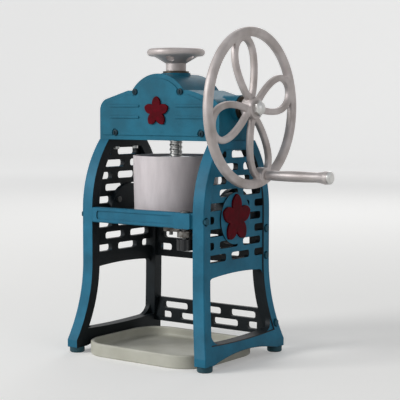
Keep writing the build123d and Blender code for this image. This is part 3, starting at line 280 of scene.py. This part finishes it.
def turned_steel(name, tint, axis="z", rough=0.24):
    """Steel with the fine rings of a lathe, turned on the upright axis or the one of the crank."""
    finish = Finish(name)
    drawn_out = dict(x=0.05, y=0.05, z=0.05)
    drawn_out[axis] = 1.0
    rings = finish.noise(size=0.25 * MM, detail=2.0, at=finish.stretched(**drawn_out))
    stains = finish.noise(size=9 * MM, detail=4.0)
    return finish.set(
        Base_Color=finish.blend(stains.within(0.4, 0.75) * 0.45, tint, shaded(tint, 0.6)),
        Metallic=1.0,
        Roughness=rough + rings * 0.16 + stains * 0.1,
        Normal=finish.bump(rings, depth=0.02 * MM, edge=0.35 * MM),
    )


def greased_iron():
    """Machined iron of the gears, darker where the grease lies."""
    finish = Finish("greased_iron")
    grease = finish.noise(size=7 * MM, detail=4.0).within(0.42, 0.62)
    grain = finish.noise(size=0.8 * MM, detail=4.0)
    return finish.set(
        Base_Color=finish.blend(grease, colour(120, 118, 114), colour(52, 40, 26)),
        Metallic=1.0 - grease * 0.7,
        Roughness=0.42 - grease * 0.2 + grain * 0.12,
        Normal=finish.bump(grain * 0.5 + grease, depth=0.1 * MM, edge=0.4 * MM),
    )


def bush_bronze():
    """Tarnished bearing bronze with fine pores."""
    finish = Finish("bush_bronze")
    pores = finish.noise(size=0.6 * MM).within(0.6, 0.8)
    tarnish = finish.noise(size=6 * MM, detail=4.0)
    tone = finish.blend(tarnish.within(0.3, 0.7), colour(64, 59, 52), colour(92, 85, 75))
    return finish.set(
        Base_Color=finish.blend(pores * 0.6, tone, colour(40, 34, 28)),
        Metallic=1.0,
        Roughness=0.3 + tarnish * 0.2,
        Normal=finish.bump(1.0 - pores, depth=0.03 * MM, edge=0.3 * MM),
    )


def drum_plastic():
    """Off-white moulded plastic, a little rough from the ice, with faint flow lines."""
    finish = Finish("drum_plastic")
    flow = finish.noise(size=9 * MM, at=finish.stretched(z=0.25))
    pits = finish.noise(size=1.4 * MM)
    tone = finish.blend(flow.within(0.3, 0.7), colour(208, 200, 202), colour(224, 216, 218))
    tone = finish.blend(pits.within(0.6, 0.8) * 0.4, tone, colour(186, 176, 178))
    return finish.set(
        Base_Color=tone,
        Roughness=0.42 + pits * 0.16,
        Normal=finish.bump(pits + flow * 0.6, depth=0.05 * MM, edge=0.6 * MM),
        Subsurface_Weight=0.08,
        Subsurface_Radius=(0.6, 0.5, 0.5),
        Subsurface_Scale=2 * MM,
    )


def tray_plastic():
    """Beige plastic with a fine grain and faint scuffs from side to side."""
    finish = Finish("tray_plastic")
    clouds = finish.noise(size=32 * MM, detail=4.0)
    grain = finish.noise(size=0.9 * MM, detail=4.0)
    scuffs = finish.noise(size=16 * MM, detail=5.0, at=finish.stretched(x=0.15)).within(0.62, 0.72)
    tone = finish.blend(clouds.within(0.3, 0.7), colour(184, 183, 169), colour(202, 201, 189))
    return finish.set(
        Base_Color=finish.blend(scuffs * 0.3, tone, colour(158, 152, 136)),
        Roughness=0.44 + grain * 0.16 + scuffs * 0.1,
        Normal=finish.bump(grain, depth=0.04 * MM, edge=1.0 * MM),
    )


def ornament_enamel():
    """Deep red stove enamel, in a thick and wavy coat."""
    finish = Finish("ornament_enamel")
    thickness = finish.noise(size=6 * MM)
    return finish.set(
        Base_Color=finish.blend(thickness.within(0.3, 0.7), colour(72, 0, 10), colour(98, 0, 20)),
        Roughness=0.44 + thickness * 0.12,
        Normal=finish.bump(thickness, depth=0.12 * MM, edge=0.9 * MM),
        Specular_IOR_Level=0.06,
    )


def foot_rubber():
    """Dusty blue-green rubber with fine moulded rings."""
    finish = Finish("foot_rubber")
    ring_pitch = 1.2 * MM
    dust = finish.noise(size=3 * MM, detail=5.0)
    _, _, height = finish.axes(finish.place)
    rings = (height * (2 * pi / ring_pitch)).sine()
    return finish.set(
        Base_Color=finish.blend(dust.within(0.45, 0.75) * 0.5, colour(18, 66, 78), colour(66, 98, 104)),
        Roughness=0.62 + dust * 0.2,
        Normal=finish.bump(rings * 0.5 + dust * 0.4, depth=0.12 * MM, edge=CAST_EDGE),
    )


def knob_plastic():
    """Black plastic, rubbed grey and smooth along its edges."""
    finish = Finish("knob_plastic")
    grain = finish.noise(size=0.5 * MM, detail=2.0)
    rub = finish.edges(radius=0.8 * MM)
    return finish.set(
        Base_Color=finish.blend(rub * 0.5, colour(24, 26, 28), colour(62, 64, 66)),
        Roughness=0.45 + grain * 0.12 - rub * 0.12,
        Normal=finish.bump(grain, depth=0.04 * MM, edge=0.6 * MM),
    )


screw_enamel = cast_enamel("screw_enamel", colour(10, 48, 60))
wheel_metal = cast_metal("wheel_metal", colour(208, 200, 198), colour(128, 115, 106))
bright_steel = turned_steel("bright_steel", colour(214, 213, 210))
spike_steel = turned_steel("spike_steel", colour(196, 197, 198), rough=0.3)

# by the slot that the record names
SLOT_FINISHES = {
    # frame enamel: its near-black second colour is painted shade on the faces that look toward the middle
    "frame_paint": cast_enamel("frame_enamel", colour(32, 110, 139), inside_shade_colour=colour(16, 24, 28)),
    "head_paint": cast_enamel("head_enamel", colour(20, 104, 129)),
    "table_paint": cast_enamel("table_enamel", colour(22, 32, 38)),
    "painted_bolts": cast_enamel("bolt_enamel", colour(22, 80, 98)),
    "dark_screws": screw_enamel,
    "ornament_red": ornament_enamel(),
    "wheel_metal": wheel_metal,
    "bright_steel": bright_steel,
    "spike_steel": spike_steel,
    "gear_iron": greased_iron(),
    "bush_brass": bush_bronze(),
    "drum_white": drum_plastic(),
    "tray_beige": tray_plastic(),
    "pad_rubber": foot_rubber(),
    "knob_black": knob_plastic(),
}

# nodes whose finish differs from that of their slot
NODE_FINISHES = {
    "handle_grip": cast_metal("handle_metal", colour(210, 203, 201), colour(164, 153, 148), sheen=0.34),
}
shaft_steel = turned_steel("shaft_steel", colour(214, 213, 210), axis="x")
for on_the_shaft in ("crank_shaft", "hub_nut", "crank_pin", "pin_end_cap", "shaft_collar", "pinion_pin"):
    NODE_FINISHES[on_the_shaft] = shaft_steel
dull_steel = turned_steel("dull_steel", colour(118, 119, 118), rough=0.42)
for under_the_table in ("adjuster_screw", "adjuster_clip", "blade_screws", "guide_pins", "table_screws"):
    NODE_FINISHES[under_the_table] = dull_steel

for name, slot in SLOTS.items():
    coats = frame["nodes"][name].data.materials
    coats.clear()
    coats.append(NODE_FINISHES.get(name, SLOT_FINISHES[slot]))


# ---------------------------------------------------------------- pieces that follow a rule
class Shape(Tree):
    """A geometry tree with named sizes, its lengths in metres; its result becomes a plain mesh."""

    def __init__(self, name, **sizes):
        self.name = name
        self.sizes = sizes
        super().__init__(bpy.data.node_groups.new(name, "GeometryNodeTree"))
        self.group.interface.new_socket("Geometry", in_out="OUTPUT", socket_type="NodeSocketGeometry")
        self.sockets = {}
        for size, value in sizes.items():
            kind = "NodeSocketInt" if isinstance(value, int) else "NodeSocketFloat"
            self.sockets[size] = self.group.interface.new_socket(size, in_out="INPUT", socket_type=kind)

    def size(self, name):
        """One of the named sizes."""
        return self.node("NodeGroupInput", output=name)

    def vector(self, x=0.0, y=0.0, z=0.0):
        return self.node("ShaderNodeCombineXYZ", values={0: x, 1: y, 2: z})

    def either(self, share, low, high):
        """The vector low where the share is 0, high where it is 1."""
        return self.node("ShaderNodeMix", {"data_type": "VECTOR"}, {0: share, 4: low, 5: high}, output=1)

    def spot(self):
        """The x, y and z of each point."""
        return self.axes(self.node("GeometryNodeInputPosition"))

    def circle(self, radius, steps):
        """A round curve."""
        values = {"Resolution": steps, "Radius": radius}
        return self.node("GeometryNodeCurvePrimitiveCircle", {"mode": "RADIUS"}, values)

    def ring(self, radius, count):
        """Points evenly round a circle."""
        return self.node("GeometryNodeMeshCircle", values={"Vertices": count, "Radius": radius})

    def sheet(self, side, across, along):
        """A flat square about the origin with a grid of points."""
        values = {"Size X": side, "Size Y": side, "Vertices X": across, "Vertices Y": along}
        return self.node("GeometryNodeMeshGrid", values=values)

    def rod(self, radius, length, sides, rings=1):
        """An upright cylinder about the origin; rings divide its ends."""
        values = {"Vertices": sides, "Fill Segments": rings, "Radius": radius, "Depth": length}
        return self.node("GeometryNodeMeshCylinder", values=values)

    def rounded_bar(self, line, width, height, rounding):
        """A bar of rounded section along a curve."""
        section = self.node("GeometryNodeCurvePrimitiveQuadrilateral", values={0: width, 1: height})
        corners = {"Curve": section, "Radius": rounding, "Count": 3}
        section = self.node("GeometryNodeFilletCurve", {"mode": "POLY"}, corners)
        return self.node("GeometryNodeCurveToMesh", values={0: line, 1: section})

    def put(self, shape, **where):
        """The shape with each point at a Position, or shifted by an Offset."""
        return self.node("GeometryNodeSetPosition", values={"Geometry": shape, **where})

    def moved(self, shape, shift=(0, 0, 0), turn=(0, 0, 0)):
        """The shape turned about the origin, then shifted."""
        values = {"Geometry": shape, "Translation": shift, "Rotation": turn}
        return self.node("GeometryNodeTransform", values=values)

    def joined(self, *shapes):
        together = self.node("GeometryNodeJoinGeometry")
        for shape in reversed(shapes):
            self.feed(together.socket.node.inputs[0], shape)
        return together

    def repeated(self, shape, points, turn=(0, 0, 0)):
        """The shape once at each point."""
        values = {"Points": points, "Instance": shape, "Rotation": turn}
        return self.node("GeometryNodeInstanceOnPoints", values=values)

    def mesh(self, shape, finish, modifiers=()):
        """The tree's result as a mesh, after the finishing modifiers."""
        shape = self.node("GeometryNodeRealizeInstances", values={0: shape})
        shape = self.node("GeometryNodeSetMaterial", values={"Geometry": shape, "Material": finish})
        leave = self.group.nodes.new("NodeGroupOutput")
        self.feed(leave.inputs[0], shape)
        blank = bpy.data.objects.new(self.name + "_blank", bpy.data.meshes.new(self.name + "_blank"))
        bpy.context.scene.collection.objects.link(blank)
        rule = blank.modifiers.new("rule", "NODES")
        rule.node_group = self.group
        for size, socket in self.sockets.items():
            rule[socket.identifier] = self.sizes[size]
        for kind, settings in modifiers:
            modifier = blank.modifiers.new(kind, kind)
            for key, value in settings.items():
                setattr(modifier, key, value)
        ready = blank.evaluated_get(bpy.context.evaluated_depsgraph_get())
        mesh = bpy.data.meshes.new_from_object(ready)
        bpy.data.objects.remove(blank)
        mesh.name = self.name
        mesh.materials.clear()
        mesh.materials.append(finish)
        return mesh


def hung(mesh, body, node, smooth=False):
    """A finished mesh in place of a node."""
    for face in mesh.polygons:
        face.use_smooth = smooth
    piece = bpy.data.objects.new(mesh.name, mesh)
    bpy.context.scene.collection.objects.link(piece)
    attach(piece, body)
    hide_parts(node)


def cast_flywheel():
    """Rim, egg-shaped spoke loops, hub and handle boss, run together like one casting."""
    wheel = Shape(
        "cast_flywheel",
        rim_middle=78 * MM, rim_width=10 * MM, rim_thickness=9 * MM, rim_rounding=3.4 * MM,
        loops=4, loop_middle=42 * MM, loop_reach=31.5 * MM, loop_spread=15.7 * MM, loop_taper=0.407,
        loop_width=7 * MM, loop_thickness=6.5 * MM, loop_rounding=1.9 * MM,
        hub_radius=11.5 * MM, hub_length=13 * MM,
        boss_radius=8.5 * MM, boss_length=11.4 * MM, boss_arm=72.5 * MM, boss_shift=0.25 * MM,
    )
    size = wheel.size
    rim_line = wheel.circle(size("rim_middle"), steps=160)
    rim = wheel.rounded_bar(rim_line, size("rim_width"), size("rim_thickness"), size("rim_rounding"))

    x, y, _ = wheel.spot()
    egg = wheel.vector(
        size("loop_middle") - size("loop_reach") * x,
        size("loop_spread") * y * (1.0 - size("loop_taper") * x),
    )
    loop_line = wheel.put(wheel.circle(1.0, steps=72), Position=egg)
    loop = wheel.rounded_bar(loop_line, size("loop_width"), size("loop_thickness"), size("loop_rounding"))
    at_the_axis = {"Count": size("loops"), "Offset": (0, 0, 0)}
    starts = wheel.node("GeometryNodeMeshLine", {"mode": "OFFSET"}, at_the_axis)
    turn = wheel.vector(z=wheel.node("GeometryNodeInputIndex") * (2 * pi) / size("loops"))
    loops = wheel.repeated(loop, starts, turn)

    hub = wheel.rod(size("hub_radius"), size("hub_length"), sides=64)
    boss = wheel.rod(size("boss_radius"), size("boss_length"), sides=48)
    boss = wheel.moved(boss, shift=wheel.vector(size("boss_arm"), 0.0, size("boss_shift")))
    softening = [
        ("REMESH", {"mode": "VOXEL", "voxel_size": 0.72 * MM}),
        ("SMOOTH", {"factor": 0.5, "iterations": 7}),
    ]
    mesh = wheel.mesh(wheel.joined(rim, loops, hub, boss), wheel_metal, softening)

    # the wheel is made flat round the origin, with the boss along +X
    wheel_plane, shaft_height, handle_turn = 97 * MM, 263.75 * MM, radians(16)
    upright = Matrix.Rotation(handle_turn, 4, "X") @ Matrix.Rotation(pi / 2, 4, "Y")
    mesh.transform(Matrix.Translation((wheel_plane, 0, shaft_height)) @ upright)
    hung(mesh, "crank", "flywheel", smooth=True)


def dome_screws():
    """Four domed screws, each cut by two crossed bars, on the corners of the head's cover."""
    low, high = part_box("cover_screws")
    head_radius = 3.3 * MM
    screws = Shape(
        "dome_screws",
        head_radius=head_radius, head_height=1.2 * MM, dome=0.75 * MM,
        recess_width=0.9 * MM, recess_span=3.6 * MM, recess_depth=1.2 * MM,
        shank_radius=1.75 * MM, shank_length=14.5 * MM, shank_in_head=0.2 * MM,
        low_reach=high[0] - head_radius, low_level=low[2] + head_radius,
        high_reach=30 * MM, high_level=high[2] - head_radius, face=-32.5 * MM,
    )
    size = screws.size
    radius = size("head_radius")
    head = screws.rod(radius, size("head_height"), sides=32, rings=5)
    x, y, z = screws.spot()
    crown = (1.0 - (x * x + y * y) / (radius * radius)) * size("dome") * (z > 0.0)
    head = screws.put(head, Offset=screws.vector(z=crown + size("head_height") * 0.5))

    slot_size = screws.vector(size("recess_span"), size("recess_width"), size("recess_depth") * 2.0)
    recess = screws.node("GeometryNodeMeshCube", values={"Size": slot_size})
    cross = screws.joined(recess, screws.moved(recess, turn=(0, 0, pi / 2)))
    cross = screws.moved(cross, shift=screws.vector(z=size("head_height") + size("dome")))
    cut = {"Mesh 1": head, "Mesh 2": cross}
    head = screws.node("GeometryNodeMeshBoolean", {"operation": "DIFFERENCE"}, cut)

    shank = screws.rod(size("shank_radius"), size("shank_length"), sides=16)
    sunk = screws.vector(z=size("shank_in_head") - size("shank_length") * 0.5)
    screw = screws.moved(screws.joined(head, screws.moved(shank, shift=sunk)), turn=(pi / 2, 0, 0))

    # a sheet of four points, 1 to each side of the middle, becomes the corners of the cover
    x, y, _ = screws.spot()
    upper = y > 0.0
    reach = size("low_reach") + upper * (size("high_reach") - size("low_reach"))
    level = size("low_level") + upper * (size("high_level") - size("low_level"))
    place = screws.vector(x * reach, size("face"), level)
    corners = screws.put(screws.sheet(side=2.0, across=2, along=2), Position=place)
    hung(screws.mesh(screws.repeated(screw, corners), screw_enamel), "machine", "cover_screws")


def ice_spikes():
    """Four-sided points in two rings, under the plate that presses on the ice."""
    low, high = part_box("plate_spikes")
    spikes = Shape(
        "ice_spikes",
        outer_ring=29 * MM, outer_count=8, inner_ring=17 * MM, inner_count=4, inner_turn=radians(22.5),
        base=2.9 * MM, tip=0.35 * MM, length=high[2] - low[2], level=low[2],
    )
    size = spikes.size
    outer = spikes.ring(size("outer_ring"), size("outer_count"))
    inner = spikes.ring(size("inner_ring"), size("inner_count"))
    inner = spikes.moved(inner, turn=spikes.vector(z=size("inner_turn")))
    taper = {"Vertices": 4, "Radius Top": size("base"), "Radius Bottom": size("tip"), "Depth": size("length")}
    spike = spikes.moved(spikes.node("GeometryNodeMeshCone", values=taper), turn=(0, 0, pi / 4))
    x, y, _ = spikes.spot()
    outward = spikes.vector(z=spikes.maths("ARCTAN2", y, x))
    placed = spikes.repeated(spike, spikes.joined(outer, inner), outward)
    placed = spikes.moved(placed, shift=spikes.vector(z=size("level")))
    hung(spikes.mesh(placed, spike_steel), "feed", "plate_spikes")


def threaded_spindle():
    """Feed spindle: a trapezoidal thread with a keyway along it, and a plain seat for the plate."""
    low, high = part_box("feed_spindle")
    rows, columns = 260, 96
    column_turn = 2 * pi / columns
    # the flat floor of the keyway reaches this many columns to each side of its middle
    floor_columns = 4
    spindle = Shape(
        "threaded_spindle",
        radius=6.98 * MM, root=6.1 * MM, lead=5 * MM, crest_end=0.14, root_start=0.3,
        seat_radius=4.98 * MM, seat_top=212.4 * MM, keyway_floor=5.0 * MM, keyway_half=1.58 * MM,
        bottom=low[2], length=high[2] - low[2], seam=0.002 * MM,
    )
    size = spindle.size

    # a sheet is rolled round the axis; its first and last rows close the end faces
    u, v, _ = spindle.spot()
    row = (v + 0.5) * (rows - 1.0)
    inside = (row > 0.5) * (row < rows - 1.5)
    z = size("bottom") + (row - 1.0).within(0.0, rows - 3.0) * size("length")

    # crest_end and root_start are shares of the lead, from the middle of the crest
    from_crest = ((z / size("lead") + u).fraction() - 0.5).absolute()
    flank = from_crest.within(size("crest_end"), size("root_start"))
    radius = size("root") + (1.0 - flank) * (size("radius") - size("root"))
    in_thread = z > size("seat_top")
    radius = size("seat_radius") + in_thread * (radius - size("seat_radius"))

    angle = u * (2 * pi)
    cosine, sine = angle.cosine(), angle.sine()
    floor_side = sine * size("keyway_half") / sin(floor_columns * column_turn)
    in_keyway = (cosine > cos((floor_columns + 0.5) * column_turn)) * in_thread
    round_part = spindle.vector(cosine * radius, sine * radius)
    flat_part = spindle.vector(size("keyway_floor"), floor_side)
    x, y, _ = spindle.axes(spindle.either(in_keyway, round_part, flat_part))

    place = spindle.vector(x * inside, y * inside, z)
    rolled = spindle.put(spindle.sheet(side=1.0, across=columns + 1, along=rows), Position=place)
    seam = {"Geometry": rolled, "Distance": size("seam")}
    closed = spindle.node("GeometryNodeMergeByDistance", values=seam)
    hung(spindle.mesh(closed, bright_steel), "feed", "feed_spindle")


cast_flywheel()
dome_screws()
ice_spikes()
threaded_spindle()


# ---------------------------------------------------------------- studio
def seen_directly(tree):
    """1 for what the camera, a mirror or a glass sees, 0 for what lights the machine."""
    seen = tree.node("ShaderNodeLightPath", output="Is Camera Ray")
    for ray in ("Is Glossy Ray", "Is Transmission Ray"):
        seen = seen.larger(tree.node("ShaderNodeLightPath", output=ray))
    return seen


def floor_finish():
    """Matt pale floor with a glow of its own, which grows with the distance from the machine."""
    finish = Finish("studio_floor")
    dapple = finish.noise(size=0.4)
    x, y, _ = finish.axes(finish.place)
    distance = (x * x + y * y).power(0.5)
    near, far = 0.4, 3.6
    glow = 0.22 + distance.within(near, far) * 0.3
    black, white = (0, 0, 0, 1), (1, 1, 1, 1)
    return finish.set(
        Base_Color=finish.blend(dapple, colour(232, 231, 228), colour(236, 235, 232)),
        Roughness=0.95 - dapple * 0.05,
        Specular_IOR_Level=0.0,
        Emission_Color=finish.blend(glow * seen_directly(finish), black, white),
        Emission_Strength=1.0,
    )


def studio_floor():
    """Pale floor that rises into a backdrop behind the machine."""
    half_width, depth, rise, bend, bend_steps = 6.0, 5.0, 5.0, 1.2, 12
    profile = [(-depth, 0.0), (depth - bend, 0.0)]
    for step in range(1, bend_steps + 1):
        turn = step / bend_steps * pi / 2
        profile.append((depth - bend + bend * sin(turn), bend - bend * cos(turn)))
    profile.append((depth, rise))
    points = [(side * half_width, y, z) for y, z in profile for side in (-1, 1)]
    faces = [(2 * i, 2 * i + 1, 2 * i + 3, 2 * i + 2) for i in range(len(profile) - 1)]
    mesh = bpy.data.meshes.new("studio_floor")
    mesh.from_pydata(points, [], faces)
    for face in mesh.polygons:
        face.use_smooth = True
    mesh.materials.append(floor_finish())
    floor = bpy.data.objects.new("studio_floor", mesh)
    bpy.context.scene.collection.objects.link(floor)


def soft_lamp(name, place, aim, size, power):
    """A round area lamp, turned to what it lights."""
    data = bpy.data.lights.new(name, "AREA")
    data.shape = "DISK"
    data.size = size
    data.energy = power
    lamp = bpy.data.objects.new(name, data)
    lamp.location = place
    lamp.rotation_euler = (Vector(aim) - Vector(place)).to_track_quat("-Z", "Y").to_euler()
    bpy.context.scene.collection.objects.link(lamp)


def studio_air():
    """Even light all round, brighter to the camera and in what the metals mirror."""
    world = bpy.data.worlds.new("studio_air")
    world.use_nodes = True
    air = Tree(world.node_tree)
    values = {"Color": (0.95, 0.97, 1.0, 1.0), "Strength": 0.32 + seen_directly(air) * 0.3}
    light = air.node("ShaderNodeBackground", values=values)
    air.feed(world.node_tree.nodes["World Output"].inputs["Surface"], light)
    bpy.context.scene.world = world


def studio_camera():
    """The photograph's viewing direction, with a longer lens so that the machine fills the frame."""
    azimuth, elevation, distance = radians(36.78), radians(4.46), 1.294
    aim = Vector((0, 0, 0.165))
    back = Vector((
        sin(azimuth) * cos(elevation),
        -cos(azimuth) * cos(elevation),
        sin(elevation),
    ))
    data = bpy.data.cameras.new("studio_camera")
    data.sensor_width = 36.0
    data.lens = 108.0
    data.shift_x = 0.06
    camera = bpy.data.objects.new("studio_camera", data)
    camera.location = aim + back * distance
    camera.rotation_mode = "QUATERNION"
    camera.rotation_quaternion = (-back).to_track_quat("-Z", "Y")
    bpy.context.scene.collection.objects.link(camera)
    bpy.context.scene.camera = camera


studio_floor()
studio_air()
studio_camera()
machine_middle = (0, 0, 0.17)
soft_lamp("key_lamp", place=(-1.3, -1.9, 1.2), aim=machine_middle, size=1.1, power=36.0)
soft_lamp("side_lamp", place=(2.2, -0.6, 1.1), aim=machine_middle, size=1.4, power=4.0)
soft_lamp("rear_lamp", place=(-0.8, 1.8, 1.4), aim=(0, 0, 0.2), size=1.2, power=8.0)
bpy.context.scene.view_settings.view_transform = "Standard"
